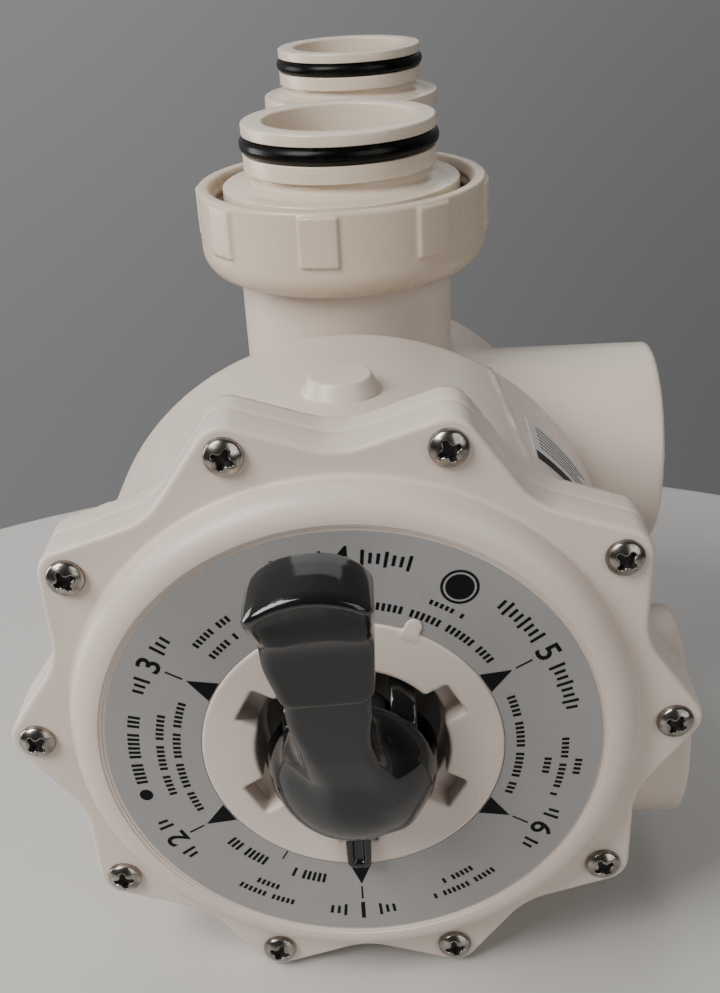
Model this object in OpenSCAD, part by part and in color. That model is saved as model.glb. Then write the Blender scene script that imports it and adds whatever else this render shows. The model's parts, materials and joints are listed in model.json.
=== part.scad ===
// Side mount multiport pool filter valve.
// The handle is pressed to lift the diverter off its gasket, then turned to choose a flow path.
// Local frame of every part: x to the line ports, y up to the tank ports, z out along the valve axis.

/* [Cover] */
// radius of the circle of cover screws
bolt_r = 98.4; // [80:0.1:120]
// number of cover screws
bolt_n = 10; // [6:1:14]
// rounding of each flange lobe round its screw
lobe_r = 8.5; // [6:0.1:14]
// rounding of the hollow between two lobes
hollow_r = 22.8; // [10:0.1:40]
// thickness of the cover flange
cover_t = 13; // [8:0.5:20]
// outer radius of the raised shoulder
shoulder_r = 86.3; // [70:0.1:100]
// radius where the rounded shoulder turns flat
rim_r = 77.9; // [60:0.1:90]
// height of the rim above the flange
rim_h = 10.5; // [4:0.1:20]
// outer radius of the label ring
label_r = 74.7; // [50:0.1:85]
// radius of the raised middle disc
disc_r = 45.6; // [35:0.1:60]
// radius of the recess for the handle hub
recess_r = 29.2; // [20:0.1:40]
// outer radius of the detent notches
notch_r = 36.2; // [30:0.1:45]
// width of a detent notch
notch_w = 11.7; // [6:0.1:16]

/* [Body] */
// outer radius of the front chamber
chamber_or = 92.2; // [80:0.1:110]
// inner radius of the front chamber
chamber_ir = 83.5; // [70:0.1:100]
// depth of the front chamber behind the flange face
chamber_d = 103; // [80:1:140]
// thickness of the body flange
body_flange_t = 10.7; // [8:0.1:20]
// radius of the rear trunk
trunk_r = 41; // [40:0.5:80]
// depth of the rear end behind the flange face
trunk_d = 392; // [300:1:450]

/* [Ports] */
// outer radius of the necks and line ports
port_or = 38.3; // [34:0.1:45]
// radius of the pipe socket in a line port
socket_r = 30.25; // [25:0.05:35]
// depth of the pipe socket
socket_d = 38; // [25:1:60]
// radius of the water passages
bore_r = 26.25; // [20:0.05:32]
// reach of the line ports to the right of the valve axis
line_reach = 113.8; // [100:0.1:140]
// depth of the front tank port
tank_d = 146.8; // [120:0.1:180]
// distance between the two tank ports
tank_pitch = 190.5; // [150:0.5:240]
// height of the tank nipples above the valve axis
tank_h = 154; // [130:0.5:180]

/* [Union] */
// outer radius of a union nut over its grip pads
nut_r = 52.25; // [45:0.05:60]
// height of a union nut
nut_h = 30.2; // [25:0.1:50]
// thread radius of a union nut
nut_ir = 46.4; // [40:0.1:50]
// number of grip pads on a nut
pads = 8; // [6:1:16]
// radius of the adapter flange
flange_r = 42; // [39:0.1:45]
// outer radius of the nipple
nipple_r = 34; // [30:0.1:38]

/* [Handle] */
// radius of the handle hub
hub_r = 25.6; // [20:0.1:30]
// distance of the pin in front of the flange face
pin_z = 12; // [6:0.5:20]
// radius of the handle pin
pin_r = 3.2; // [2:0.1:5]
// radius of the stem
stem_r = 12.7; // [8:0.1:16]

/* [Hidden] */
$fn = 96;
e = 0.01;
pitch_a = 360 / bolt_n;
seat_z = -97;
nut_front_y = 103.3;
nut_rear_y = 66.8;
neck_top_y = 126.5;
line_ports = [[-45.6, -69.4], [28.3, -144.2], [-45.6, -219]];
washer_top = -4.8;
floor_z = -6.5;
cam_r = 11.8;
cam_e = 13.7;
cam_a = 70;

cream = [0.86, 0.82, 0.76];
black = [0.06, 0.06, 0.06];
rubber = [0.04, 0.04, 0.04];
steel = [0.7, 0.69, 0.67];
silver = [0.68, 0.69, 0.7];
grey = [0.35, 0.36, 0.37];
white = [0.9, 0.9, 0.88];

// The origin is the middle of the front nipple's mouth.
module frame() {
    translate([0, -tank_d, -tank_h])
        rotate([90, 0, 0])
            children();
}

// turn a z axis shape to stand along the tank ports
module standing(z) {
    translate([0, 0, z])
        rotate([-90, 0, 0])
            children();
}

// turn a z axis shape to lie along a line port
module lying(p) {
    translate([0, p[0], p[1]])
        rotate([0, 90, 0])
            children();
}

module at_screws() {
    for (i = [0 : bolt_n - 1])
        rotate([0, 0, pitch_a * (i + 0.5)])
            translate([0, bolt_r, 0])
                children();
}

// flange outline: lobes round the screws, straight flanks and hollows between them
module lobed_outline() {
    a = pitch_a;
    flank_r = lobe_r - 0.15;
    line_d = bolt_r * cos(a) + flank_r;
    hollow_c = (line_d + hollow_r - 0.25) / cos(a / 2);
    corners = [for (i = [0 : bolt_n - 1])
        let (m = a * (i + 0.5), v = a * (i + 1))
        each [
            bolt_r * [sin(m), cos(m)] + flank_r * [sin(m - a), cos(m - a)],
            bolt_r * [sin(m), cos(m)] + flank_r * [sin(m + a), cos(m + a)],
            hollow_c * [sin(v), cos(v)] - (hollow_r - 0.25) * [sin(v + a / 2), cos(v + a / 2)],
            hollow_c * [sin(v), cos(v)] - (hollow_r - 0.25) * [sin(v - a / 2), cos(v - a / 2)]
        ]];
    difference() {
        union() {
            polygon(corners);
            for (i = [0 : bolt_n - 1])
                rotate([0, 0, a * (i + 0.5)])
                    translate([0, bolt_r])
                        circle(lobe_r, $fn = 48);
        }
        for (i = [0 : bolt_n - 1])
            rotate([0, 0, a * i])
                translate([0, hollow_c])
                    circle(hollow_r);
    }
}

// cylinder along z from z0 to z1
module rod(r, z0, z1) {
    translate([0, 0, z0])
        cylinder(r = r, h = z1 - z0);
}

// plain ring with a square section
module ring(ro, ri, z0, z1) {
    difference() {
        rod(ro, z0, z1);
        rod(ri, z0 - 1, z1 + 1);
    }
}

module torus(r, s) {
    rotate_extrude()
        translate([r, 0])
            circle(s, $fn = 24);
}

module cover() {
    color(cream)
        frame()
            difference() {
                union() {
                    translate([0, 0, -cover_t])
                        linear_extrude(cover_t)
                            lobed_outline();
                    cover_dome();
                    rod(22, -30, floor_z);
                    translate([0, 0, rim_h - 3])
                        rotate([0, 0, -24])
                            translate([0, disc_r, 0])
                                nub();
                }
                cover_hollow();
                rod(recess_r, floor_z, 20);
                for (i = [0 : 5])
                    rotate([0, 0, 60 * i])
                        translate([-notch_w / 2, 0, 3])
                            cube([notch_w, notch_r, 20]);
                rod(stem_r + 0.05, -40, 0);
                at_screws()
                    rod(3.4, -cover_t - 1, 1);
            }
}

// revolved outside of the shoulder, the rim steps, the label seat and the middle disc
module cover_dome() {
    c = rim_h - (shoulder_r - rim_r);
    rotate_extrude()
        difference() {
            union() {
                translate([0, -3])
                    square([rim_r, rim_h + 3]);
                translate([0, -3])
                    square([shoulder_r, c + 3]);
                translate([rim_r, c])
                    circle(shoulder_r - rim_r);
            }
            translate([75.8, rim_h - 0.5])
                square([0.9, 2]);
            translate([disc_r, rim_h - 1])
                square([75.9 - disc_r, 2]);
            translate([0, -20])
                square([shoulder_r + 9, 17]);
        }
}

// small index nub on the edge of the middle disc
module nub() {
    translate([-2.4, -3, 0])
        cube([4.8, 5, 3]);
    translate([0, 2, 0])
        cylinder(r = 2.4, h = 3, $fn = 32);
}

// inside of the cover over the chamber
module cover_hollow() {
    difference() {
        union() {
            rod(76, -cover_t - 1, 0);
            rod(71, -cover_t - 1, 4);
        }
        rod(41, floor_z - 6, 12);
        rod(22, -40, 0);
    }
}

module cover_o_ring() {
    color(rubber)
        frame()
            translate([0, 0, -cover_t - 2.5])
                torus(88, 2.5);
}

module cover_screws() {
    color(steel)
        frame()
            at_screws()
                pan_screw();
}

// pan head screw with a cross recess
module pan_screw() {
    difference() {
        union() {
            intersection() {
                rod(5.7, 0, 3.6);
                translate([0, 0, -4.4])
                    sphere(8.2, $fn = 48);
            }
            rod(3.15, -20, 0.5);
            translate([0, 0, -22])
                cylinder(r1 = 2, r2 = 3.15, h = 2);
        }
        for (a = [0, 90])
            rotate([0, 0, a + 20])
                translate([-3, -0.8, 1.4])
                    cube([6, 1.6, 4]);
    }
}

module label_ring() {
    color(silver)
        frame()
            difference() {
                ring(label_r, disc_r + 0.2, rim_h - 1, rim_h - 0.6);
                rotate([0, 0, -24])
                    translate([0, disc_r, rim_h - 3]) {
                        translate([-2.7, -3, 0])
                            cube([5.4, 5, 4]);
                        translate([0, 2, 0])
                            cylinder(r = 2.7, h = 4, $fn = 32);
                    }
            }
}

module valve_body() {
    color(cream)
        frame()
            difference() {
                body_outside();
                body_inside();
            }
}

module body_outside() {
    flange_z = -cover_t - body_flange_t;
    translate([0, 0, flange_z])
        linear_extrude(body_flange_t)
            lobed_outline();
    // front chamber with a rounded rear edge
    rotate_extrude()
        union() {
            translate([0, -chamber_d])
                square([chamber_or - 5, chamber_d - cover_t]);
            translate([0, 5 - chamber_d])
                square([chamber_or, chamber_d - cover_t - 5]);
            translate([chamber_or - 5, 5 - chamber_d])
                circle(5, $fn = 48);
        }
    // moulded rib along the chamber
    rotate([0, 0, -35.5])
        translate([-0.8, chamber_or - 3, -chamber_d + 6])
            cube([1.6, 3.6, chamber_d + flange_z - 6 + e]);
    // round boss on top of the chamber
    translate([0, 0, -49.5])
        rotate([-90, 0, 0])
            translate([0, 0, 80]) {
                cylinder(r = 12.2, h = 12);
                translate([0, 0, 12])
                    cylinder(r1 = 12.2, r2 = 9.5, h = 5);
            }
    // rear trunk with a rounded end
    rotate_extrude()
        union() {
            translate([0, -trunk_d])
                square([trunk_r - 14, trunk_d - chamber_d + 10]);
            translate([0, 14 - trunk_d])
                square([trunk_r, trunk_d - chamber_d - 4]);
            translate([trunk_r - 14, 14 - trunk_d])
                circle(14);
        }
    // gallery behind the chamber that carries the upper line port
    translate([10.5, 12, 0])
        rotate_extrude()
            union() {
                translate([0, -186])
                    square([58, 90]);
                translate([0, -180])
                    square([64, 84]);
                translate([58, -180])
                    circle(6, $fn = 48);
            }
    // gallery that carries the rearmost line port
    translate([8, line_ports[2][0], 0])
        rod(port_or, line_ports[2][1], -chamber_d + 3);
    translate([8, line_ports[2][0], line_ports[2][1]])
        sphere(port_or);
    for (z = [-tank_d, -tank_d - tank_pitch])
        standing(z)
            rod(port_or, 0, neck_top_y);
    for (p = line_ports)
        lying(p)
            rotate_extrude()
                union() {
                    translate([0, 8])
                        square([port_or - 3, line_reach - 8]);
                    translate([0, 8])
                        square([port_or, line_reach - 11]);
                    translate([port_or - 3, line_reach - 3])
                        circle(3, $fn = 32);
                }
}

module body_inside() {
    rod(chamber_ir, seat_z, 0);
    // groove for the cover seal
    ring(90.6, 85.3, -cover_t - 5.02, -cover_t + 1);
    at_screws()
        rod(3.2, -22.2, 0);
    // six windows of the diverter seat
    for (i = [0 : 5])
        rotate([0, 0, 60 * i + 30])
            window();
    // front tank passage
    standing(-tank_d) {
        rod(29, 22, neck_top_y + 1);
        rod(nipple_r - 0.95, 98, neck_top_y + 1);
    }
    translate([0, 48, -tank_d])
        rod(20, 0, tank_d + seat_z + 1);
    // rear tank passage
    standing(-tank_d - tank_pitch) {
        rod(29, 0, neck_top_y + 1);
        rod(nipple_r - 0.95, 98, neck_top_y + 1);
    }
    translate([0, 12, -tank_d - tank_pitch])
        rod(26, -5, 142);
    translate([-22, -6, -215])
        rod(13, 0, 119);
    translate([0, 0, -tank_d - tank_pitch])
        sphere(29);
    // line port passages and pipe sockets
    lying(line_ports[0])
        rod(bore_r, 40, line_reach + 1);
    lying(line_ports[1])
        rod(bore_r, 42, line_reach + 1);
    lying(line_ports[2])
        rod(bore_r, 18, line_reach + 1);
    for (p = line_ports)
        lying(p)
            rod(socket_r, line_reach - socket_d, line_reach + 1);
    translate([56, 20, line_ports[1][1]])
        rod(16, 0, 48);
    translate([22, -47, line_ports[2][1]])
        rod(22, 0, 124);
}

// one window in the diverter seat
module window() {
    intersection() {
        ring(70, 24, seat_z - 5, seat_z + e);
        translate([0, 0, seat_z - 5])
            rotate([0, 0, -24])
                rotate_extrude(angle = 48)
                    translate([20, -1])
                        square([60, 8]);
    }
}

module data_label() {
    color(white)
        frame()
            intersection() {
                ring(chamber_or + 0.35, chamber_or + 0.05, -70.5, -39.3);
                rotate([0, 0, -49.5])
                    translate([-16.3, 40, -71])
                        cube([32.6, 70, 33]);
            }
}

// glued adapter: flange that the nut pulls on and nipple with a seal groove
module tank_adapter(z) {
    color(cream)
        frame()
            standing(z)
                rotate_extrude()
                    difference() {
                        union() {
                            translate([bore_r, 100])
                                square([nipple_r - 1 - bore_r, 30]);
                            translate([bore_r, neck_top_y])
                                square([flange_r - bore_r, 6.5]);
                            translate([bore_r, neck_top_y])
                                square([nipple_r - 3 - bore_r, tank_h - neck_top_y]);
                            translate([bore_r, 138.2])
                                square([nipple_r - bore_r, tank_h - 138.2]);
                            polygon([
                                [bore_r, 132],
                                [nipple_r + 3.8, 132],
                                [nipple_r + 3.6, 133],
                                [nipple_r - 0.4, 134.4],
                                [nipple_r - 2.4, 136],
                                [nipple_r - 3, 138],
                                [bore_r, 138]
                            ]);
                        }
                        translate([28.85, 143.8])
                            square([20, 6.2]);
                        translate([nipple_r - 0.8, tank_h])
                            rotate([0, 0, -45])
                                square([4, 4]);
                    }
}

module tank_adapter_front() {
    tank_adapter(-tank_d);
}

module tank_adapter_rear() {
    tank_adapter(-tank_d - tank_pitch);
}

module adapter_o_ring(z) {
    color(rubber)
        frame()
            standing(z)
                translate([0, 0, 146.9])
                    torus(31.95, 3.08);
}

module adapter_o_ring_front() {
    adapter_o_ring(-tank_d);
}

module adapter_o_ring_rear() {
    adapter_o_ring(-tank_d - tank_pitch);
}

// union nut, its closed end at y0
module union_nut(z, y0) {
    color(cream)
        frame()
            standing(z)
                translate([0, 0, y0])
                    difference() {
                        union() {
                            nut_shell();
                            for (i = [0 : pads - 1])
                                rotate([0, 0, 360 / pads * i - 7.3])
                                    grip_pad();
                        }
                        rod(nut_ir, 11, nut_h + 1);
                        rod(port_or + 0.7, -1, nut_h);
                        translate([0, 0, nut_h - 1.2])
                            cylinder(r1 = nut_ir, r2 = nut_ir + 1.2, h = 1.2 + e);
                    }
}

module nut_shell() {
    rotate_extrude()
        union() {
            translate([0, 0])
                square([nut_r - 11, nut_h]);
            translate([0, 10])
                square([nut_r - 1, nut_h - 10]);
            translate([nut_r - 11, 10])
                circle(10);
        }
}

// raised pad that runs down the side of a nut
module grip_pad() {
    intersection() {
        ring(nut_r, nut_r - 3, 12.4, nut_h - 1.5);
        translate([0, -6.6, 0])
            cube([80, 13.2, nut_h]);
    }
}

module union_nut_front() {
    union_nut(-tank_d, nut_front_y);
}

module union_nut_rear() {
    union_nut(-tank_d - tank_pitch, nut_rear_y);
}

// rubber spider between the seat and the diverter
module spider_gasket() {
    color(rubber)
        frame()
            translate([0, 0, seat_z])
                difference() {
                    rod(78, 0.02, 3);
                    for (i = [0 : 5])
                        rotate([0, 0, 60 * i + 30])
                            rotate([0, 0, -24.5])
                                translate([0, 0, -1])
                                    rotate_extrude(angle = 49)
                                        translate([23.5, 0])
                                            square([47, 6]);
                    rod(9, -1, 4);
                }
}

module diverter() {
    color(grey)
        frame()
            difference() {
                union() {
                    rod(77.4, seat_z + 3.2, seat_z + 11);
                    rod(26, seat_z + 3.2, seat_z + 24);
                    rod(stem_r, seat_z + 3.2, pin_z + 9);
                    // hood that joins two windows
                    intersection() {
                        ring(72, 24, seat_z + 3.2, seat_z + 34);
                        translate([0, 0, seat_z - 10])
                            sphere(80);
                        rotate([0, 0, 180])
                            translate([0, 0, seat_z])
                                rotate_extrude(angle = 120)
                                    square([80, 40]);
                    }
                }
                // inlet window
                translate([0, 0, seat_z])
                    rotate([0, 0, 66])
                        rotate_extrude(angle = 48)
                            translate([30, 0])
                                square([40, 60]);
                // hollow under the hood
                intersection() {
                    rod(68, seat_z, seat_z + 28);
                    translate([0, 0, seat_z - 10])
                        sphere(74);
                    rotate([0, 0, 185])
                        translate([0, 0, seat_z])
                            rotate_extrude(angle = 110)
                                translate([30, 0])
                                    square([40, 40]);
                }
                // pin hole
                translate([0, 0, pin_z])
                    rotate([0, 90, 0])
                        rod(pin_r, -30, 30);
                // flats where the handle cheeks stand
                for (s = [-1, 1])
                    translate([s * 12 - 2, -20, -11.5])
                        cube([4, 40, 40]);
                // grooves of the stem seals
                for (z = [-16, -24])
                    ring(stem_r + 1, stem_r - 2.65, z - 1.6, z + 1.6);
            }
}

module stem_o_rings() {
    color(rubber)
        frame()
            for (z = [-16, -24])
                translate([0, 0, z])
                    torus(stem_r - 1.32, 1.3);
}

// points of a round wire spring, ring by ring
function coil_point(r, w, p, t, k) = [
    (r + w * cos(k)) * cos(t),
    (r + w * cos(k)) * sin(t),
    p * t / 360 + w * sin(k)
];

module coil(r, w, p, turns) {
    steps = 18 * turns;
    sides = 8;
    points = [for (i = [0 : steps], k = [0 : sides - 1])
        coil_point(r, w, p, 20 * i, 360 / sides * k)];
    skin = [for (i = [0 : steps - 1], k = [0 : sides - 1])
        [i * sides + k, i * sides + (k + 1) % sides, (i + 1) * sides + (k + 1) % sides, (i + 1) * sides + k]];
    ends = [
        [for (k = [sides - 1 : -1 : 0]) k],
        [for (k = [0 : sides - 1]) steps * sides + k]
    ];
    polyhedron(points, concat(skin, ends));
}

module spring() {
    color(steel)
        frame()
            translate([0, 0, -70.8])
                coil(18.5, 1.7, 7.2, 5);
}

module spring_washer() {
    color(white)
        frame()
            ring(23, stem_r + 0.3, -32.8, -30.2);
}

module thrust_washer() {
    color(white)
        frame()
            ring(27, stem_r + 0.3, floor_z, washer_top);
}

module handle_pin() {
    color(steel)
        frame()
            translate([0, 0, pin_z])
                rotate([0, 90, 0])
                    rod(pin_r - 0.04, -19, 19);
}

module handle() {
    color(black)
        frame()
            difference() {
                union() {
                    handle_hub();
                    handle_arm();
                    pointer();
                }
                // room for the stem at rest and pressed
                translate([-10.4, -17, -30])
                    cube([20.8, 34, 58.5]);
                translate([-10.4, -22, -30])
                    cube([20.8, 44, 36]);
                translate([0, 0, pin_z])
                    rotate([0, 90, 0])
                        rod(pin_r + 0.02, -19.2, 19.2);
            }
}

// hollow ball that turns in the recess, with a cam cheek on each side of the stem
module handle_hub() {
    translate([0, 0, pin_z]) {
        intersection() {
            difference() {
                sphere(hub_r);
                sphere(hub_r - 3.4);
                // open top
                translate([-30, 9, -42])
                    cube([60, 30, 46]);
            }
            translate([-40, -40, -16.5])
                cube([80, 80, 60]);
            rotate([25, 0, 0])
                translate([-40, -40, -20.8])
                    cube([80, 80, 80]);
        }
        intersection() {
            rod(28.4, -20, 20);
            for (s = [-1, 1])
                translate([s * 14.5 - 3.6, 0, 0])
                    cheek();
        }
    }
}

// round boss on the pin joined to the cam lobe
module cheek() {
    rotate([0, 90, 0]) {
        cylinder(r = 12, h = 7.2);
        translate([cam_e * cos(cam_a), cam_e * sin(cam_a), 0])
            cylinder(r = cam_r, h = 7.2);
    }
}

module handle_arm() {
    // lower arm out of the hub
    hull() {
        translate([0, -8, pin_z + 12])
            rounded_bar(25, 8);
        translate([-4, 44, 38])
            rounded_bar(23.5, 7);
    }
    // wide paddle, leaning a little to one side
    hull() {
        translate([-4.2, 46, 41])
            rounded_bar(26.5, 8);
        translate([-4.8, 62, 44.5])
            rounded_bar(29.5, 8.5);
    }
    hull() {
        translate([-4.8, 62, 44.5])
            rounded_bar(29.5, 8.5);
        translate([-5.4, 84, 58.5])
            rounded_bar(32, 9.4);
    }
}

// bar along x with rounded edges and ends
module rounded_bar(w, r) {
    for (s = [-1, 1])
        translate([s * (w / 2 - r), 0, 0])
            sphere(r, $fn = 32);
}

// pointer that shows the chosen position, with the detent lug under it
module pointer() {
    translate([-4, -43.6, rim_h + 0.6])
        cube([8, 21.6, 3.6]);
    translate([-5, -35.4, rim_h + 0.35])
        cube([10, 12, 2]);
}

valve_body();
cover();
cover_o_ring();
cover_screws();
label_ring();
data_label();
tank_adapter_front();
tank_adapter_rear();
adapter_o_ring_front();
adapter_o_ring_rear();
union_nut_front();
union_nut_rear();
spider_gasket();
diverter();
stem_o_rings();
spring();
spring_washer();
thrust_washer();
handle_pin();
handle();
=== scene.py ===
import json
import math

import bmesh
import bpy
import numpy as np
from mathutils import Matrix, Vector


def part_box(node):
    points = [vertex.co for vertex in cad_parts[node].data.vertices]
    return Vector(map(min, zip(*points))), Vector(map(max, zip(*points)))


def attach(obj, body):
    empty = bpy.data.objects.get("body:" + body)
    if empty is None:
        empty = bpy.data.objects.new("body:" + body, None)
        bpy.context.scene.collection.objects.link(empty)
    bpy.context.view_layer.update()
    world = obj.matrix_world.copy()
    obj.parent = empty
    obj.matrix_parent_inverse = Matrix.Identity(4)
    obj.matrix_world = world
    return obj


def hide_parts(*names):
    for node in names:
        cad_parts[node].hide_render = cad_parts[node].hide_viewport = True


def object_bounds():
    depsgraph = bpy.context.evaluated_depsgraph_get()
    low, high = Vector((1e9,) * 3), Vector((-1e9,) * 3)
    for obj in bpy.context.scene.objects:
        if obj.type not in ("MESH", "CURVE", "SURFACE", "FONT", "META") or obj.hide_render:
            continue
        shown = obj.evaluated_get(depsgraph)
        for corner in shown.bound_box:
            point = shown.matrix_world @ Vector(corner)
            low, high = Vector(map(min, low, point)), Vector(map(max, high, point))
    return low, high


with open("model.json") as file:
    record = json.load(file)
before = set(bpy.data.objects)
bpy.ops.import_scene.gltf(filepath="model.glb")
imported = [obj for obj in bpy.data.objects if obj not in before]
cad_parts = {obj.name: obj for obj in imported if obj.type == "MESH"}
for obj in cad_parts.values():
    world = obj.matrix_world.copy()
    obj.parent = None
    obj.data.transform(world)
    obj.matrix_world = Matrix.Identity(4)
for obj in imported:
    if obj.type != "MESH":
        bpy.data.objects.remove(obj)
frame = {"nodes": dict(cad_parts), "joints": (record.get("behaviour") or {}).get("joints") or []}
CAD_LOW, CAD_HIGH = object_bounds()
JOINTS = {j["name"]: j for j in frame["joints"]}

# The valve's own axes, in millimetres: x to the line ports, y up to the tank ports,
# z out along the valve axis, with z = 0 on the front face of the cover flange.
ORIGIN = np.array(JOINTS["diverter_turn"]["pos_m"], float)


def to_row(p):
    """Points of the valve's own axes, in the frame's metres."""
    p = np.asarray(p, float)
    return np.stack([p[..., 0], -p[..., 2], p[..., 1]], -1) / 1000 + ORIGIN


def to_valve(p):
    """Points of the frame, in the valve's own axes."""
    q = (np.asarray(p, float) - ORIGIN) * 1000
    return np.stack([q[..., 0], q[..., 2], -q[..., 1]], -1)


def node_box(node):
    """Low and high corner of a CAD node, in the valve's own axes."""
    lo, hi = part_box(node)
    a, b = to_valve(lo), to_valve(hi)
    return np.minimum(a, b), np.maximum(a, b)


# ---------------------------------------------------------------- sizes

# screws, and the flange outline: lobes joined to hollows by straight flanks
BOLT_R = 98.4
BOLT_N = 10
PITCH = 2 * math.pi / BOLT_N
LOBE_R = 8.5
HOLLOW_R = 22.8
LINE_D = BOLT_R * math.cos(PITCH) + LOBE_R
HOLLOW_C = (LINE_D + HOLLOW_R) / math.cos(PITCH / 2)
# cover, from the back of its flange to the top of its rim
COVER_BACK = -13
SHOULDER_R = 86.3
RIM_R = 77.9
RIM_H = 10.5
DISC_R = 45.6
RECESS_R = 29.2
NOTCH_R = 36.2
NOTCH_W = 11.7
FLOOR_Z = -6.5
STEM_HOLE_R = 12.75
# body: round shapes along z have a radius and the z of both ends
FLANGE_Z = (-23.7, -13.15)
CHAMBER_R = 92.2
CHAMBER_Z = (-103, -12.9)
CHAMBER_BORE_R = 83.5
CHAMBER_BORE_Z = (-97, 5)
TRUNK_R = 41
TRUNK_Z = (-392, -90)
GALLERY_AT = (10.5, 12)
GALLERY_R = 64
GALLERY_Z = (-186, -90)
PORT_R = 38.3
BORE_R = 26.25
# line ports along x: socket, reach, the y and z of each axis, and the x where each bore starts
SOCKET_R = 30.25
SOCKET_D = 38.0
REACH = 113.8
LINE_PORTS = ((-45.6, -69.4), (28.3, -144.2), (-45.6, -219.0))
LINE_BORE_X = (40, 42, 18)
# passages from the chamber to the middle and the far line port: x, y, radius and depth
LINE_PASSAGES = ((56, 20, 16, -144), (22, -47, 22, -219))
# tank ports along y
TANK_Z = (-146.8, -337.3)
NECK_TOP = 126.5
NECK_BORE_R = 33.05
TANK_BORE_R = 29
TANK_H = 154.0
# rib on the chamber, turned by RIB_ANGLE degrees from the top, and the round boss there
RIB_ANGLE = 35.3
RIB_R = 90.5
BOSS_R = 12.2
BOSS_Y = 91
BOSS_Z = -49.5
# screw heads: their tops are part of a ball with its middle DOME_DROP below the flange's face
HEAD_R = 5.7
DOME_R = 8.2
DOME_DROP = 4.6
# union nuts: rounded below NUT_WAIST, straight outside and bored inside above it
NUT_R = 52.25
NUT_H = 30.2
NUT_IR = 46.4
NUT_WAIST = 11
PADS = 8
PAD_HALF = 6.6
THREAD_PITCH = 4.2
SEAL_R = 31.95
SEAL_H = 146.9
SEAL_WIRE_R = 3.08
# handle: a hollow ball round the pin, with an arm, a thumb paddle, cams and a pointer
PIN_Z = 12.0
HUB_R = 25.6
HUB_WALL = 3.4
CAM_X = 15.6
CAM_HALF = 3.8
POINTER_Y = -31.8
# print: on the dial's film, and on the film of the chamber
LABEL_TOP = 9.9
PRINT_Z = (LABEL_TOP + 0.01, LABEL_TOP + 0.05)
NUMERAL_R = 66.5
DOT_AT = (64.6, 30.2)
CHAMBER_PRINT_R = (92.56, 92.62)
# camera, in the valve's own axes: its place, and its turn from a view along -z, in degrees
CAMERA_AT = (16.55, 229.3, 302.9)
CAMERA_TURN = (31.35, -1.4, 2.53)
CAMERA_LENS = 44.45
CAMERA_SHIFT = 0.1096

# ---------------------------------------------------------------- distance shapes


def hyp(*a):
    """Length of a vector from its components."""
    return np.sqrt(sum(v * v for v in a))


def join(a, b, k):
    """Union with a fillet about k wide."""
    h = np.maximum(k - np.abs(a - b), 0) / k
    return np.minimum(a, b) - h * h * k * 0.25


def cross(a, b, k):
    """Intersection with a rounded edge about k wide."""
    return -join(-a, -b, k)


def cut(a, b, k):
    """Shape a without shape b, its new edge rounded about k wide."""
    return -join(-a, b, k)


def rod(r, z, radius, z0, z1, c=0.0):
    """Cylinder with edges rounded by c, from its radial and axial coordinates."""
    u = r - radius + c
    v = np.abs(z - (z0 + z1) / 2) - (z1 - z0) / 2 + c
    return np.minimum(np.maximum(u, v), 0) + hyp(np.maximum(u, 0), np.maximum(v, 0)) - c


def slab(x, y, z, sx, sy, sz, c=0.0):
    """Block with half sides sx, sy, sz and edges rounded by c."""
    u, v, w = np.abs(x) - sx + c, np.abs(y) - sy + c, np.abs(z) - sz + c
    inner = np.minimum(np.maximum(np.maximum(u, v), w), 0)
    return inner + hyp(np.maximum(u, 0), np.maximum(v, 0), np.maximum(w, 0)) - c


def outline(a, b, pts):
    """Distance to a closed polygon, negative inside."""
    d = np.full(a.shape, 1e9)
    inside = np.zeros(a.shape, bool)
    n = len(pts)
    for i in range(n):
        x0, y0 = pts[i]
        x1, y1 = pts[(i + 1) % n]
        ex, ey = x1 - x0, y1 - y0
        wx, wy = a - x0, b - y0
        t = np.clip((wx * ex + wy * ey) / (ex * ex + ey * ey), 0, 1)
        d = np.minimum(d, (wx - t * ex) ** 2 + (wy - t * ey) ** 2)
        if y0 != y1:
            hit = ((y0 > b) != (y1 > b)) & (a < ex * (b - y0) / (y1 - y0) + x0)
            inside ^= hit
    return np.where(inside, -1, 1) * np.sqrt(d)


def lobed(x, y):
    """Distance to the flange outline: a lobe round each screw and a hollow between two."""
    t = np.abs((np.arctan2(x, y) / PITCH) % 1 - 0.5) * PITCH
    r = hyp(x, y)
    px, py = r * np.sin(t), r * np.cos(t)
    s = px * math.cos(PITCH) - py * math.sin(PITCH)
    flank = px * math.sin(PITCH) + py * math.cos(PITCH) - LINE_D
    lobe = hyp(px, py - BOLT_R) - LOBE_R
    cx, cy = HOLLOW_C * math.sin(PITCH / 2), HOLLOW_C * math.cos(PITCH / 2)
    hollow = HOLLOW_R - hyp(px - cx, py - cy)
    far = s > -HOLLOW_C * math.sin(PITCH / 2)
    return np.where(far, hollow, np.where(s < -BOLT_R * math.sin(PITCH), lobe, flank))


def plate(d, z, z0, z1, c):
    """Extrusion of a flat distance d, with both edges rounded by c."""
    u, v = d + c, np.abs(z - (z0 + z1) / 2) - (z1 - z0) / 2 + c
    return np.minimum(np.maximum(u, v), 0) + hyp(np.maximum(u, 0), np.maximum(v, 0)) - c


# ---------------------------------------------------------------- meshing


def slope(f, p, e=0.03):
    """Gradient of f at the points p, from four samples e away."""
    g = np.zeros_like(p)
    for k in ((1, -1, -1), (-1, -1, 1), (-1, 1, -1), (1, 1, 1)):
        k = np.array(k, float)
        g += k * f(p + k * e)[:, None]
    return g / (4 * e)


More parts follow.
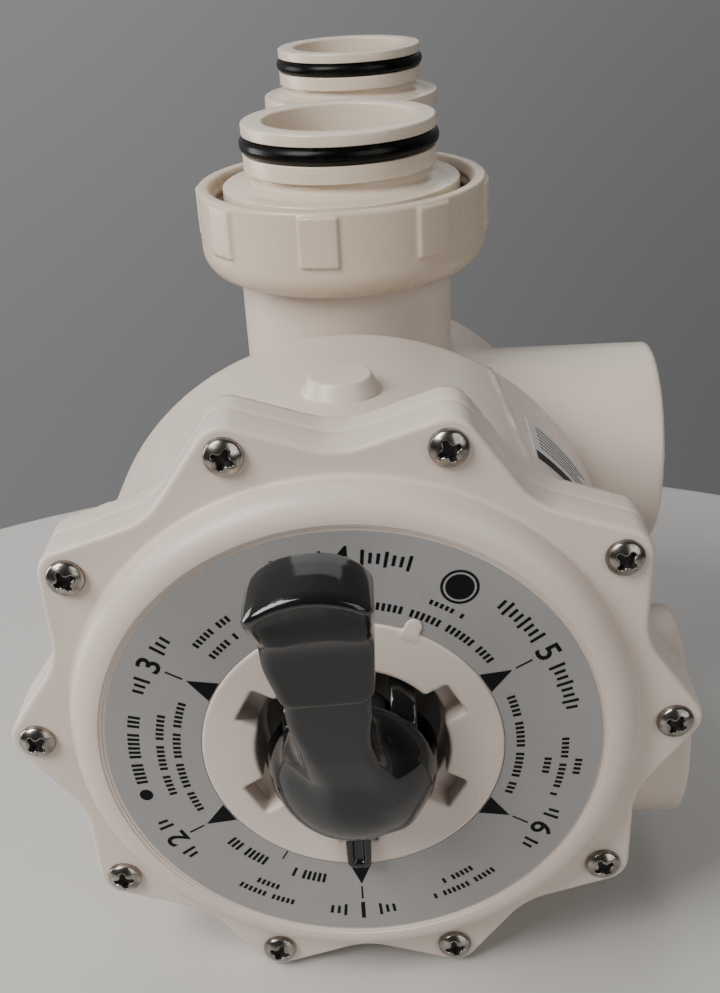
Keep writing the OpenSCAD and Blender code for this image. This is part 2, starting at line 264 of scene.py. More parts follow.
def skin(f, lo, hi, h, block=8):
    """Quads about h wide on the zero level of the distance f, inside the box lo to hi.

    Each block of cells is judged by the distance at its middle, and only those near the
    surface are sampled in full."""
    lo = np.array(lo, float) - 1.5 * h
    nb = np.ceil((np.array(hi, float) + 1.5 * h - lo) / h / block).astype(int)
    mids = [lo[a] + ((np.arange(nb[a]) + 0.5) * block - 0.5) * h for a in range(3)]
    d = f(np.stack(np.meshgrid(*mids, indexing="ij"), -1).reshape(-1, 3)).reshape(nb)
    grid = d.astype(np.float32)
    for a in range(3):
        grid = np.repeat(grid, block, a)
    near = np.argwhere(np.abs(d) < block * h * 1.05 + 1.5 * h)
    step = np.stack(np.meshgrid(*[np.arange(block)] * 3, indexing="ij"), -1).reshape(-1, 3)
    for i in range(0, len(near), 500):
        at = (near[i:i + 500, None, :] * block + step).reshape(-1, 3)
        grid[at[:, 0], at[:, 1], at[:, 2]] = f(lo + at * h)
    # one point in each cell that the surface passes through
    inside = grid < 0
    count = np.zeros([n - 1 for n in inside.shape], np.uint8)
    corners = [(i, j, k) for i in (0, 1) for j in (0, 1) for k in (0, 1)]
    nx, ny, nz = count.shape
    for i, j, k in corners:
        count += inside[i:i + nx, j:j + ny, k:k + nz]
    active = (count > 0) & (count < 8)
    cells = np.argwhere(active)
    ids = np.full(active.shape, -1, np.int64)
    ids[active] = np.arange(len(cells))
    place = np.zeros((len(cells), 3))
    weight = np.zeros(len(cells))
    for axis in range(3):
        for c in corners:
            if c[axis]:
                continue
            a = cells + c
            b = a.copy()
            b[:, axis] += 1
            va = grid[a[:, 0], a[:, 1], a[:, 2]]
            vb = grid[b[:, 0], b[:, 1], b[:, 2]]
            m = (va < 0) != (vb < 0)
            p = np.tile(np.array(c, float), (m.sum(), 1))
            p[:, axis] += va[m] / (va[m] - vb[m])
            place[m] += p
            weight[m] += 1
    verts = lo + (cells + place / weight[:, None]) * h
    # one quad round each grid edge that crosses the surface
    quads = []
    for axis in range(3):
        u, v = (axis + 1) % 3, (axis + 2) % 3
        n = list(inside.shape)
        first = [slice(None)] * 3
        second = [slice(None)] * 3
        first[axis], second[axis] = slice(0, n[axis] - 1), slice(1, n[axis])
        low = inside[tuple(first)]
        at = np.argwhere(low != inside[tuple(second)])
        ok = (at[:, u] > 0) & (at[:, v] > 0) & (at[:, u] < n[u] - 1) & (at[:, v] < n[v] - 1)
        at = at[ok]
        du, dv = np.eye(3, dtype=int)[u], np.eye(3, dtype=int)[v]
        ring = [at - du - dv, at - dv, at, at - du]
        q = np.stack([ids[r[:, 0], r[:, 1], r[:, 2]] for r in ring], 1)
        out = ~low[at[:, 0], at[:, 1], at[:, 2]]
        q[out] = q[out][:, ::-1]
        quads.append(q)
    # the points slide onto the surface
    for _ in range(3):
        g = slope(f, verts)
        move = (f(verts) / np.maximum((g * g).sum(1), 0.2))[:, None] * g
        size = np.sqrt((move * move).sum(1))[:, None]
        verts -= move * np.minimum(1, 0.6 * h / np.maximum(size, 1e-9))
    return verts, np.concatenate(quads)


def revolve(profile, n):
    """Lathe of a closed profile of (radius, height) points round the third axis."""
    pts = np.array(profile, float)
    m = len(pts)
    a = np.linspace(0, 2 * np.pi, n, endpoint=False)
    verts = np.stack([
        np.outer(np.sin(a), pts[:, 0]),
        np.outer(np.cos(a), pts[:, 0]),
        np.tile(pts[:, 1], (n, 1)),
    ], -1).reshape(-1, 3)
    i = np.arange(n)[:, None]
    j = np.arange(m)[None, :]
    i2, j2 = (i + 1) % n, (j + 1) % m
    q = np.stack([i2 * m + j, i2 * m + j2, i * m + j2, i * m + j], -1)
    return verts, q.reshape(-1, 4)


def soften(pts, radii, steps=5):
    """Replaces each corner of a closed polygon by an arc of the radius given for it."""
    out = []
    n = len(pts)
    for i in range(n):
        p = np.array(pts[i], float)
        a, b = np.array(pts[i - 1], float) - p, np.array(pts[(i + 1) % n], float) - p
        la, lb = np.hypot(*a), np.hypot(*b)
        a, b = a / la, b / lb
        angle = math.acos(max(-1, min(1, float(a @ b))))
        r = radii[i]
        if r <= 0 or angle > 3.1:
            out.append(tuple(p))
            continue
        t = min(r / math.tan(angle / 2), 0.45 * la, 0.45 * lb)
        r = t * math.tan(angle / 2)
        bis = (a + b) / np.hypot(*(a + b))
        centre = p + bis * r / math.sin(angle / 2)
        s, e = p + a * t - centre, p + b * t - centre
        for k in range(steps + 1):
            w = k / steps
            v = s * (1 - w) + e * w
            out.append(tuple(centre + v / np.hypot(*v) * r))
    return out


def piece(name, parts, material, body, stands_for=(), smooth=True, sharp=None,
          second=None, marked=None):
    """One object out of (points in valve millimetres, faces) lists.

    Faces that are true in marked take the second material."""
    verts, faces, base = [], [], 0
    for points, shares in parts:
        verts.append(np.asarray(points, float))
        if isinstance(shares, list):
            faces.extend([k + base for k in face] for face in shares)
        else:
            faces.extend((shares + base).tolist())
        base += len(points)
    me = bpy.data.meshes.new(name)
    me.from_pydata(to_row(np.concatenate(verts)).tolist(), [], faces)
    me.validate()
    me.update()
    if smooth:
        me.polygons.foreach_set("use_smooth", [True] * len(me.polygons))
    if sharp:
        me.set_sharp_from_angle(angle=math.radians(sharp))
    ob = bpy.data.objects.new(name, me)
    bpy.context.scene.collection.objects.link(ob)
    me.materials.append(material)
    if second:
        me.materials.append(second)
        me.polygons.foreach_set("material_index", np.asarray(marked, int).tolist())
    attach(ob, body)
    if stands_for:
        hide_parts(*stands_for)


# ---------------------------------------------------------------- materials


class Nodes:
    """Short hand for building a material's node tree."""

    def __init__(self, name):
        self.material = bpy.data.materials.new(name)
        self.material.use_nodes = True
        self.tree = self.material.node_tree
        self.shader = self.tree.nodes["Principled BSDF"]
        self.coord = self.add("ShaderNodeTexCoord").outputs["Object"]

    def add(self, kind):
        return self.tree.nodes.new(kind)

    def link(self, a, b):
        self.tree.links.new(a, b)

    def noise(self, scale, detail, rough, stretch=None, twist=(0, 0, 0)):
        """Noise over the object, drawn out by stretch after a turn by twist."""
        node = self.add("ShaderNodeTexNoise")
        node.inputs["Scale"].default_value = scale
        node.inputs["Detail"].default_value = detail
        node.inputs["Roughness"].default_value = rough
        source = self.coord
        if stretch:
            m = self.add("ShaderNodeMapping")
            m.inputs["Scale"].default_value = stretch
            m.inputs["Rotation"].default_value = twist
            self.link(source, m.inputs["Vector"])
            source = m.outputs["Vector"]
        self.link(source, node.inputs["Vector"])
        return node.outputs["Fac"]

    def ramp(self, fac, stops):
        """Colour that follows fac through (position, colour) stops."""
        node = self.add("ShaderNodeValToRGB")
        els = node.color_ramp.elements
        while len(els) < len(stops):
            els.new(0.5)
        for el, (pos, col) in zip(els, stops):
            el.position = pos
            el.color = (*col, 1)
        self.link(fac, node.inputs["Fac"])
        return node.outputs["Color"]

    def span(self, fac, a, b, lo=0.0, hi=1.0):
        """Value that runs from a to b while fac runs from lo to hi."""
        node = self.add("ShaderNodeMapRange")
        node.inputs["From Min"].default_value = lo
        node.inputs["From Max"].default_value = hi
        node.inputs["To Min"].default_value = a
        node.inputs["To Max"].default_value = b
        self.link(fac, node.inputs["Value"])
        return node.outputs["Result"]

    def multiply(self, share, a, b):
        """Colour a with a share of colour b multiplied in."""
        node = self.add("ShaderNodeMixRGB")
        node.blend_type = "MULTIPLY"
        node.inputs["Fac"].default_value = share
        self.link(a, node.inputs["Color1"])
        self.link(b, node.inputs["Color2"])
        return node.outputs["Color"]

    def bump(self, height, distance, strength, after=None):
        """Bumped normal, on top of the one given as after."""
        node = self.add("ShaderNodeBump")
        node.inputs["Distance"].default_value = distance
        node.inputs["Strength"].default_value = strength
        self.link(height, node.inputs["Height"])
        if after is not None:
            self.link(after, node.inputs["Normal"])
        return node.outputs["Normal"]

    def set(self, **values):
        """Links or sets the shader's sockets and returns the finished material."""
        for k, v in values.items():
            socket = self.shader.inputs[k.replace("_", " ")]
            if hasattr(v, "links"):
                self.link(v, socket)
            else:
                socket.default_value = v
        return self.material


def shade(rgb, k):
    """Colour made k times as bright."""
    return tuple(min(1.0, c * k) for c in rgb)


def moulded(name, rgb, rough, grime_and_shade=0.05):
    """Moulded plastic: slow tone changes, faint grime, fine surface grain and light scuffs."""
    n = Nodes(name)
    tone = n.ramp(n.noise(9, 4, 0.6), [(0.3, shade(rgb, 0.965)), (0.7, shade(rgb, 1.02))])
    dirt = n.ramp(n.noise(34, 6, 0.7), [(0.56, (1, 1, 1)), (0.78, (0.80, 0.76, 0.70))])
    colour = n.multiply(grime_and_shade * 4, tone, dirt)
    specks = n.ramp(n.noise(420, 2, 0.5), [(0.70, (1, 1, 1)), (0.78, (0.70, 0.66, 0.6))])
    colour = n.multiply(0.35, colour, specks)
    scuff = n.noise(90, 5, 0.7, stretch=(1.0, 2.5, 1.5), twist=(0.4, 0.7, 0.2))
    gloss = n.span(scuff, rough - 0.06, rough + 0.1, 0.35, 0.7)
    fine = n.bump(n.noise(1500, 2, 0.5), 0.00002, 0.5)
    wave = n.bump(n.noise(55, 2, 0.4), 0.00025, 0.25, fine)
    return n.set(Base_Color=colour, Roughness=gloss, Normal=wave)


body_mat = moulded("cream_body", (0.64, 0.553, 0.482), 0.34)
cover_mat = moulded("cream_cover", (0.65, 0.557, 0.49), 0.38)
nut_mat = moulded("cream_nut", (0.605, 0.503, 0.395), 0.3)
adapter_mat = moulded("cream_adapter", (0.67, 0.575, 0.465), 0.28)
# painted shade: the spring and thrust washers are coloured dark brown to stand in for the shadow
# in the handle's recess
washer_shade_mat = moulded("washer_painted_shade", (0.09, 0.08, 0.07), 0.45, 0.03)
grey_mat = moulded("grey_diverter", (0.09, 0.095, 0.10), 0.32)


def black_gloss():
    """Polished black plastic with haze, fine hairs and smears."""
    n = Nodes("black_handle")
    haze = n.noise(26, 6, 0.65)
    colour = n.ramp(haze, [(0.3, (0.003, 0.003, 0.003)), (0.75, (0.011, 0.011, 0.011))])
    hairs = n.noise(70, 6, 0.75, stretch=(1.0, 9.0, 4.0), twist=(0.5, 0.3, 0.9))
    smear = n.noise(45, 5, 0.6, stretch=(3.0, 1.0, 1.0), twist=(0.0, 0.4, 0.3))
    gloss = n.span(smear, 0.08, 0.2, 0.35, 0.7)
    normal = n.bump(haze, 0.00012, 0.2, n.bump(hairs, 0.00003, 0.2))
    return n.set(Base_Color=colour, Roughness=gloss, Normal=normal, Specular_IOR_Level=0.62)


def rubber():
    """Black rubber, dulled by dust."""
    n = Nodes("black_rubber")
    dust = n.noise(180, 5, 0.7)
    colour = n.ramp(dust, [(0.5, (0.0015, 0.0015, 0.0015)), (0.9, (0.012, 0.011, 0.010))])
    gloss = n.span(n.noise(60, 4, 0.6), 0.22, 0.4, 0.3, 0.75)
    return n.set(Base_Color=colour, Roughness=gloss, Normal=n.bump(dust, 0.00008, 0.3),
                 Specular_IOR_Level=0.15)


def grime_and_shade():
    """Painted shade for the recesses of the screws: a near-black colour with a dusty speckle, in
    place of the shadow inside them.
    """
    n = Nodes("recess_painted_shade")
    dust = n.noise(900, 4, 0.6)
    colour = n.ramp(dust, [(0.4, (0.012, 0.011, 0.010)), (0.8, (0.05, 0.042, 0.034))])
    return n.set(Base_Color=colour, Roughness=n.span(dust, 0.5, 0.75),
                 Normal=n.bump(dust, 0.0001, 0.4))


def steel():
    """Stainless steel with worn, darker patches."""
    n = Nodes("stainless")
    worn = n.noise(260, 5, 0.7)
    colour = n.ramp(worn, [(0.35, (0.17, 0.15, 0.13)), (0.65, (0.43, 0.40, 0.365))])
    gloss = n.span(worn, 0.3, 0.17, 0.3, 0.7)
    return n.set(Base_Color=colour, Metallic=1.0, Roughness=gloss,
                 Normal=n.bump(n.noise(700, 3, 0.6), 0.00005, 0.4))


def film(name, rgb, rough, metal, spec=0.5):
    """Printed or silvered plastic film with flakes and scuffs."""
    n = Nodes(name)
    tone = n.ramp(n.noise(16, 4, 0.6), [(0.3, shade(rgb, 0.95)), (0.7, shade(rgb, 1.05))])
    flake = n.ramp(n.noise(2600, 1, 0.5), [(0.3, (0.9, 0.9, 0.9)), (0.7, (1, 1, 1))])
    scuff = n.noise(90, 5, 0.7, stretch=(2.0, 9.0, 1.0), twist=(0.0, 0.6, 0.0))
    return n.set(Base_Color=n.multiply(0.6, tone, flake), Metallic=metal,
                 Roughness=n.span(scuff, rough - 0.06, rough + 0.12, 0.35, 0.7),
                 Normal=n.bump(scuff, 0.00004, 0.15), Specular_IOR_Level=spec)


handle_mat = black_gloss()
rubber_mat = rubber()
steel_mat = steel()
# near-black painted shade, given to the faces inside the screws' recesses
recess_shade_mat = grime_and_shade()
label_mat = film("silver_film", (0.305, 0.297, 0.292), 0.4, 0.15)
paper_mat = film("pale_film", (0.56, 0.56, 0.55), 0.45, 0.0)
ink_mat = film("black_ink", (0.005, 0.005, 0.006), 0.5, 0.0, 0.12)

for node, material in {
    "cover_o_ring": rubber_mat, "spider_gasket": rubber_mat, "stem_o_rings": rubber_mat,
    "label_ring": label_mat, "data_label": paper_mat, "diverter": grey_mat,
    "spring": steel_mat, "handle_pin": steel_mat, "spring_washer": washer_shade_mat,
    "thrust_washer": washer_shade_mat, "valve_body": body_mat, "cover": cover_mat,
    "cover_screws": steel_mat, "handle": handle_mat, "tank_adapter_front": adapter_mat,
    "tank_adapter_rear": adapter_mat, "adapter_o_ring_front": rubber_mat,
    "adapter_o_ring_rear": rubber_mat, "union_nut_front": nut_mat, "union_nut_rear": nut_mat,
}.items():
    mesh = frame["nodes"][node].data
    mesh.materials.clear()
    mesh.materials.append(material)

# ---------------------------------------------------------------- valve body


def body_shape(p):
    """The whole casting without the boss: chamber, trunk, ports, flange, rib and hollows."""
    x, y, z = p[:, 0], p[:, 1], p[:, 2]
    r = hyp(x, y)
    chamber = rod(r, z, CHAMBER_R, *CHAMBER_Z, 5)
    trunk = rod(r, z, TRUNK_R, *TRUNK_Z, 14)
    d = join(chamber, trunk, 5)
    gallery_x, gallery_y = GALLERY_AT
    gallery = rod(hyp(x - gallery_x, y - gallery_y), z, GALLERY_R, *GALLERY_Z, 6)
    d = join(d, gallery, 3)
    low_y, low_z = LINE_PORTS[2]
    tube = rod(hyp(x - 8, y - low_y), z, PORT_R, low_z - PORT_R, -90, 30)
    d = join(d, tube, 4)
    for cz, fillet in zip(TANK_Z, (1.6, 4)):
        neck = rod(hyp(x, z - cz), y, PORT_R, 0, NECK_TOP, 0.8)
        d = join(d, neck, fillet)
    for cy, cz in LINE_PORTS:
        port = rod(hyp(y - cy, z - cz), x, PORT_R, 8, REACH, 1.4)
        d = join(d, port, 2.2)
    flange = plate(lobed(x, y), z, *FLANGE_Z, 0.9)
    d = join(d, flange, 4)
    # moulded rib along the chamber, slightly twisted round it
    a = np.radians(RIB_ANGLE + (z + 60) * 0.074)
    rx, ry = x * np.cos(a) - y * np.sin(a), x * np.sin(a) + y * np.cos(a)
    d = join(d, slab(rx, ry - RIB_R, z + 62, 0.55, 2.3, 39, 0.4), 0.8)
    # hollows of the chamber and the tank ports, and their passages along the trunk
    d = cut(d, rod(r, z, CHAMBER_BORE_R, *CHAMBER_BORE_Z, 2), 0.8)
    for cz in TANK_Z:
        d = cut(d, rod(hyp(x, z - cz), y, NECK_BORE_R, 60, NECK_TOP + 30, 1), 0.8)
        d = cut(d, rod(hyp(x, z - cz), y, TANK_BORE_R, 6, 90, 4), 2)
    d = cut(d, rod(hyp(x, y - 12), z, 26, -342, -195, 6), 3)
    d = cut(d, rod(hyp(x, y - 48), z, 20, -150, -90, 2), 2)
    for cx, cy, radius, far in LINE_PASSAGES:
        d = cut(d, rod(hyp(x - cx, y - cy), z, radius, far, -90, 1), 1.5)
    for (cy, cz), deep in zip(LINE_PORTS, LINE_BORE_X):
        pr = hyp(y - cy, z - cz)
        d = cut(d, rod(pr, x, SOCKET_R, REACH - SOCKET_D, REACH + 30, 0.6), 0.9)
        d = cut(d, rod(pr, x, BORE_R, deep, 90, 2), 1)
    return d


def boss_shape(p):
    """Round boss on top of the chamber, with a chamfered cap."""
    x, y, z = p[:, 0], p[:, 1], p[:, 2]
    wide = BOSS_R - np.clip((y - BOSS_Y - 1) / 5, 0, 1) * 2.75
    return cross(hyp(x, z - BOSS_Z) - wide, np.abs(y - BOSS_Y) - 6, 0.5) * 0.9


def build_body():
    lo, hi = node_box("valve_body")
    casting = skin(body_shape, lo, hi, 1.7)
    boss_at, boss_half = np.array((0, BOSS_Y, BOSS_Z)), np.array((12.5, 6.5, 12.5))
    boss = skin(boss_shape, boss_at - boss_half, boss_at + boss_half, 0.55)
    piece("body_shell", [casting, boss], body_mat, "housing", ["valve_body"])


# ---------------------------------------------------------------- cover


def flange_rim():
    """Points and outward normals round the flange outline.

    Half a sector, with each normal's angle, is mirrored and then repeated for each screw."""
    pts, nrm = [], []
    half = []
    for t in np.linspace(0, 1, 12, endpoint=False):
        f = PITCH * t
        half.append((LOBE_R * math.sin(f), BOLT_R + LOBE_R * math.cos(f), f))
    s, c = math.sin(PITCH), math.cos(PITCH)
    hx, hy = HOLLOW_C * math.sin(PITCH / 2), HOLLOW_C * math.cos(PITCH / 2)
    a = np.array([LOBE_R * s, BOLT_R + LOBE_R * c])
    b = np.array([hx - HOLLOW_R * s, hy - HOLLOW_R * c])
    for t in np.linspace(0, 1, 8, endpoint=False):
        q = a + (b - a) * t
        half.append((q[0], q[1], PITCH))
    for t in np.linspace(0, 1, 15):
        f = PITCH * (1 - t / 2)
        half.append((hx - HOLLOW_R * math.sin(f), hy - HOLLOW_R * math.cos(f), f))
    sector = [(-x, y, -f) for x, y, f in half[:0:-1]] + half[:-1]
    for i in range(BOLT_N):
        m = PITCH * (i + 0.5)
        for x, y, f in sector:
            pts.append((x * math.cos(m) + y * math.sin(m), y * math.cos(m) - x * math.sin(m)))
            nrm.append((math.sin(m + f), math.cos(m + f)))
    return np.array(pts), np.array(nrm)


def quarter(n):
    """Sines and cosines of n angles from 0 to 90 degrees."""
    return [(math.sin(math.radians(t)), math.cos(math.radians(t))) for t in np.linspace(0, 90, n)]


def cover_top():
    """Flange, shoulder and rim, as rings of points that go from the outline to circles."""
    pts, nrm = flange_rim()
    n = len(pts)
    rad = pts / np.hypot(pts[:, 0], pts[:, 1])[:, None]
    rows = []

    def inner(r, z):
        rows.append(np.column_stack([rad * r, np.full(n, z)]))

    def edge(inset, z):
        rows.append(np.column_stack([pts - nrm * inset, np.full(n, z)]))

    inner(80, COVER_BACK)
    inner(86, COVER_BACK)
    # small rounding of the flange's back edge, larger one of its front edge
    small, large = 0.5, 1.7
    for s, c in quarter(5):
        edge(small * (1 - s), COVER_BACK + small * (1 - c))
    edge(0, -7)
    for s, c in quarter(8):
        edge(large * (1 - c), -large + large * s)
    edge(3.0, 0)
    # concave fillet, then the rounded shoulder
    fillet, shoulder = 1.6, SHOULDER_R - RIM_R
    for s, c in quarter(6):
        inner(SHOULDER_R + fillet - fillet * s, fillet - fillet * c)
    for s, c in quarter(16):
        inner(RIM_R + shoulder * c, RIM_H - shoulder + shoulder * s)
    profile = soften([
        (RIM_R - 0.1, RIM_H), (76.7, RIM_H), (76.7, RIM_H - 0.5), (75.8, RIM_H - 0.5),
        (75.8, RIM_H - 1.05), (44, RIM_H - 1.05)], [0, 0.2, 0.12, 0.2, 0.15, 0], 3)
    for r, z in profile:
        inner(r, z)
    # closed underneath, over the chamber
    for r, z in ((44, 4), (71, 4), (74, 0), (76, -4), (76, COVER_BACK)):
        inner(r, z)
    m = len(rows)
    i = np.arange(n)[None, :]
    j = np.arange(m)[:, None]
    i2, j2 = (i + 1) % n, (j + 1) % m
    quads = np.stack([j2 * n + i, j2 * n + i2, j * n + i2, j * n + i], -1).reshape(-1, 4)
    return np.concatenate(rows), quads


def disc_shape(p):
    """Raised disc with its nub, its recess with six notches, and the stem's hole."""
    x, y, z = p[:, 0], p[:, 1], p[:, 2]
    r = hyp(x, y)
    d = rod(r, z, DISC_R, -12.5, RIM_H, 0.9)
    s, c = math.sin(math.radians(24)), math.cos(math.radians(24))
    nx, ny = x * c - y * s, x * s + y * c
    nub = join(slab(nx, ny - DISC_R, z - 8.5, 2.4, 2.2, 1.9, 0.3),
               rod(hyp(nx, ny - DISC_R - 1.9), z, 2.5, 6.5, RIM_H - 0.1, 0.5), 0.6)
    d = join(d, nub, 1.2)
    d = cut(d, rod(r, z, RECESS_R, FLOOR_Z, 40, 1.5), 1.3)
    notch_start = 18
    for k in range(6):
        a = math.radians(60 * k)
        u, v = x * math.cos(a) - y * math.sin(a), x * math.sin(a) + y * math.cos(a)
        notch = slab(u, v - notch_start, z - 23, NOTCH_W / 2, NOTCH_R - notch_start, 20, 1.0)
        d = cut(d, notch, 1.1)
    return cut(d, rod(r, z, STEM_HOLE_R, -40, 20, 0), 0.6)


def build_cover():
    disc = skin(disc_shape, (-47, -47, -12.6), (51, 52, 10.6), 0.5)
    piece("cover_shell", [cover_top(), disc], cover_mat, "housing", ["cover"])


def dome(x, y, z):
    """Distance to the ball that a screw head's top is a part of."""
    return hyp(x, y, z + DOME_DROP) - DOME_R


def cross_recess(x, y, z):
    """Cross of two tapered slots with a round middle."""
    wide = 0.98 - 0.12 * (3.6 - z)
    arms = join(hyp(np.maximum(np.abs(x) - 2.5, 0), y) - wide,
                hyp(x, np.maximum(np.abs(y) - 2.5, 0)) - wide, 0.9)
    return np.maximum(join(arms, hyp(x, y) - 1.7, 0.8), 0.7 - z)


def head_shape(p):
    x, y, z = p[:, 0], p[:, 1], p[:, 2]
    d = cross(rod(hyp(x, y), z, HEAD_R, -0.6, 6, 0.3), dome(x, y, z), 0.7)
    return cut(d, cross_recess(x, y, z), 0.35)


def build_screws():
    """One head, repeated round the flange, each driven home at its own angle."""
    verts, quads = skin(head_shape, (-6, -6, -0.7), (6, 6, 3.8), 0.27)
    x, y, z = verts[quads].mean(1).T
    # faces well inside the cross recess take the painted shade material, a dark colour in place of
    # the recess's shadow
    deep = (dome(x, y, z) < -0.55) & (hyp(x, y) < 4.2) & (z > 0.4)
    parts = []
    for i, turn in enumerate((24, 52, 61, 33, 12, 70, 5, 40, 27, 66)):
        a = PITCH * (i + 0.5)
        t = math.radians(turn)
        x = verts[:, 0] * math.cos(t) - verts[:, 1] * math.sin(t)
        y = verts[:, 0] * math.sin(t) + verts[:, 1] * math.cos(t)
        at = np.column_stack([x + BOLT_R * math.sin(a), y + BOLT_R * math.cos(a), verts[:, 2]])
        parts.append((at, quads))
    piece("screw_heads", parts, steel_mat, "housing", ["cover_screws"],
          second=recess_shade_mat, marked=np.tile(deep, BOLT_N))


# ---------------------------------------------------------------- unions


def stand(verts, z, up=0.0):
    """Turns points about the third axis to stand along the tank port at z."""
    return np.column_stack([verts[:, 0], verts[:, 2] + up, z - verts[:, 1]])


def nut_shape(p):
    """Union nut with grip pads outside and a thread inside, flared at its open end."""
    x, y, z = p[:, 0], p[:, 1], p[:, 2]
    r = hyp(x, y)
    a = np.arctan2(y, x)
    wall = NUT_R - 1.05
    d = np.minimum(rod(r, z, wall, 0, NUT_H, 9.8), rod(r, z, wall, NUT_WAIST, NUT_H, 1.1))
    w = 2 * math.pi / PADS
    off = ((a + math.radians(7.3)) / w + 0.5) % 1 - 0.5
    side = np.abs(off) * w * 52 - PAD_HALF
    pad = plate(cross(r - NUT_R, 44 - r, 0.1), z, 12.4, NUT_H - 1.4, 0.4)
    d = join(d, cross(pad, side, 0.7), 0.8)
    turn = (z / THREAD_PITCH - a / (2 * math.pi)) % 1
    tooth = 1.25 * np.clip(2.4 * (0.5 - np.abs(turn - 0.5)) - 0.1, 0, 0.8)
    bore = rod(r, z, NUT_IR, NUT_WAIST, NUT_H + 20, 0.5)
    bore = (bore + tooth * np.clip((NUT_H - 1.5 - z) / 2, 0, 1)) * 0.75
    d = cut(d, bore, 0.4)
    flare = (r - NUT_IR - (z - NUT_H + 1.3)) * 0.707
    d = cut(d, np.maximum(flare, 24 - z), 0.5)
    return cut(d, rod(r, z, PORT_R + 0.7, -20, 30, 0), 1.0)


def adapter_profile():
    """Outline of a tank adapter, from its spigot in the valve's neck to its grooved lip."""
    lip, groove, neck, collar, spigot = 34, 28.95, 31, 42, 33
    return soften([
        (BORE_R, 100), (BORE_R, TANK_H), (lip, TANK_H), (lip, 149.9), (groove, 149.9),
        (groove, 143.9), (lip, 143.9), (lip, 138.2), (neck, 138.2), (31.1, 136.4), (32.6, 134.9),
        (36.6, 133.4), (collar, 133), (collar, NECK_TOP), (spigot, NECK_TOP), (spigot, 100)],
        [0.3, 0.9, 0.8, 0.35, 0.5, 0.5, 0.35, 0.25, 0.4, 1.5, 2.5, 2.0, 0.6, 0.4, 0.3, 0.3])


def seal_profile():
    """Round section of the O-ring in the adapter's groove."""
    turn = np.linspace(0, 2 * math.pi, 28, endpoint=False)[::-1]
    return [(SEAL_R + SEAL_WIRE_R * math.cos(t), SEAL_H + SEAL_WIRE_R * math.sin(t)) for t in turn]


def build_unions():
    nut, nut_faces = skin(nut_shape, (-NUT_R, -NUT_R, 0), (NUT_R, NUT_R, NUT_H), 0.7)
    adapter, adapter_faces = revolve(adapter_profile(), 192)
    seal, seal_faces = revolve(seal_profile(), 192)
    for name, z in zip(("front", "rear"), TANK_Z):
        node = "union_nut_" + name
        up = node_box(node)[0][1]
        piece("nut_" + name, [(stand(nut, z, up), nut_faces)], nut_mat,
              name + "_nut", [node])
        piece("adapter_" + name, [(stand(adapter, z), adapter_faces)], adapter_mat, "housing",
              ["tank_adapter_" + name], sharp=50)
        piece("seal_" + name, [(stand(seal, z), seal_faces)], rubber_mat, "housing",
              ["adapter_o_ring_" + name])


# ---------------------------------------------------------------- handle


def ease(t):
    """Smooth step from 0 to 1."""
    t = np.clip(t, 0, 1)
    return t * t * (3 - 2 * t)


def shield(u, v, half, v0, v1, r0, r1):
    """Flat shape with rounded corners: r0 at its low edge, r1 at its high edge."""
    mid = (v0 + v1) / 2
    r = np.where(v > mid, r1, r0)
    a, b = np.abs(u) - half + r, np.abs(v - mid) - (v1 - v0) / 2 + r
    return np.minimum(np.maximum(a, b), 0) + hyp(np.maximum(a, 0), np.maximum(b, 0)) - r


def arm_shape(x, y, z):
    """Arm that leans to one side and spreads out onto the ball."""
    lean = x + 4.1 - 9.8 * ease((34 - y) / 48)
    side = outline(y, z, [(-14, 24), (0, 31.6), (20, 36.5), (42, 40.3), (46, 37.5), (30, 32),
                          (14, 25), (-4, 17)]) - 4
    front = np.interp(y, (-20, 0, 20, 44), (25.5, 35.8, 40.4, 44.6))
    # how far the left and the right flank spread, as a slope
    left = np.interp(y, (2, 12, 22, 31), (1.1, 0.9, 0.4, 0))
    right = np.interp(y, (-12, -2, 8, 17), (0.6, 0.85, 0.72, 0))
    t = np.where(lean < 0, left, right)
    half = 11.6 - 1.8 * ease((36 - y) / 14)
    flank = (np.abs(lean) - half - t * np.clip(front - z, 0, 11)) / np.sqrt(1 + t * t)
    return cross(side, flank, 3.2)


def scooped(v):
    """Height of the paddle's face: level at first, then rising round a soft bend."""
    level, rise, soft, bend = 45.4, 0.885, 2.6, 62.5
    return level + rise * soft * math.log(1 + math.exp((v - bend) / soft))


def paddle_shape(x, y, z):
    """Thumb paddle: its face is scooped and its top is arched."""
    lean = x + 4 + 0.03 * np.maximum(y - 40, 0)
    bow = y + 0.02 * lean * lean * ease((y - 58) / 22) - 0.06 * lean
    scoop = [(v, scooped(v)) for v in np.linspace(42.6, 86.6, 30)]
    side = outline(bow, z, scoop + [(87.3, 66.5), (88.1, 65.2), (89.8, 60.6), (91.1, 56.3),
                                    (91.5, 53.0), (88.5, 50.0), (82, 46.2), (62, 39.5),
                                    (43.5, 36)]) - 0.8
    half = np.where(lean < 0, 12.6 + 3.3 * ease((y - 41) / 15),
                    12.8 + 2.4 * np.clip((y - 45) / 38, 0, 1))
    face = shield(lean, y - 0.06 * lean, half, 41.0, 93.3, 4.5, 12.5)
    return cross(side, face, 3.6)


def cams_shape(x, y, z):
    """A cam cheek on each side of the stem, webbed to the ball."""
    cheek = np.minimum(hyp(y, z - PIN_Z) - 12, hyp(y - 12.87, z - 7.31) - 11.8)
    web = np.maximum(np.maximum(hyp(x, y, z - PIN_Z) - 24, y - 3), -(z + 2))
    cheek = plate(np.minimum(cheek, web), np.abs(x) - CAM_X, -CAM_HALF, CAM_HALF, 0.4)
    return np.maximum(np.maximum(cheek, hyp(x, y) - 28.2), -(z + 4.45))


